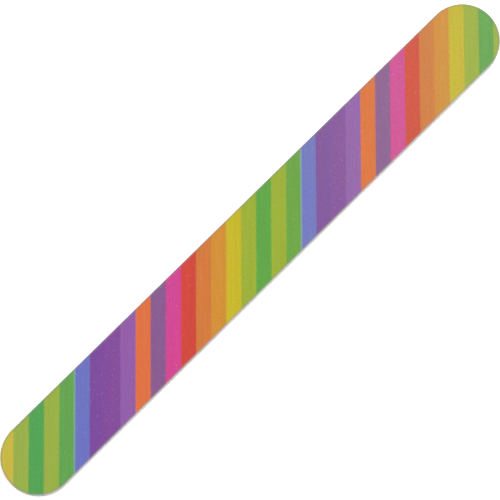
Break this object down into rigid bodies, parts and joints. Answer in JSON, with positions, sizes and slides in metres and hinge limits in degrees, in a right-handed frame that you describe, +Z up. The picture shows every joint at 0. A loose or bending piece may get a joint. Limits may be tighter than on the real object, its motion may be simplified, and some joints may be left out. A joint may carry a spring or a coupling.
{
  "type": "cushioned nail file",
  "caption": "Flat cushioned nail file with full-round ends and a striped abrasive face on each side, used by hand to shape and buff nails.",
  "frame": {"origin": "middle of the underside, on the surface that the lower abrasive face rests on", "axes": "+X along the file's length, +Y across its width, +Z up through its thickness, out of the upper abrasive face"},
  "size_m": [0.178, 0.02, 0.004],
  "materials": {
    "striped_grit": "fine matte abrasive grains in clear resin over rainbow-striped print",
    "backing_paper": "matte dense paper with a cut edge",
    "adhesive_film": "gloss translucent acrylic adhesive on thin film",
    "white_foam": "matte closed-cell foam with cut cells on its edge",
    "core_plastic": "satin white polystyrene sheet with a die-cut edge"
  },
  "bodies": {
    "root": {"lower_grit_coat": "striped_grit", "lower_backing_paper": "backing_paper", "lower_sheet_tape": "adhesive_film", "lower_foam_pad": "white_foam", "lower_core_tape": "adhesive_film", "plastic_core": "core_plastic", "upper_core_tape": "adhesive_film", "upper_foam_pad": "white_foam", "upper_sheet_tape": "adhesive_film", "upper_backing_paper": "backing_paper", "upper_grit_coat": "striped_grit"}
  },
  "joints": []
}
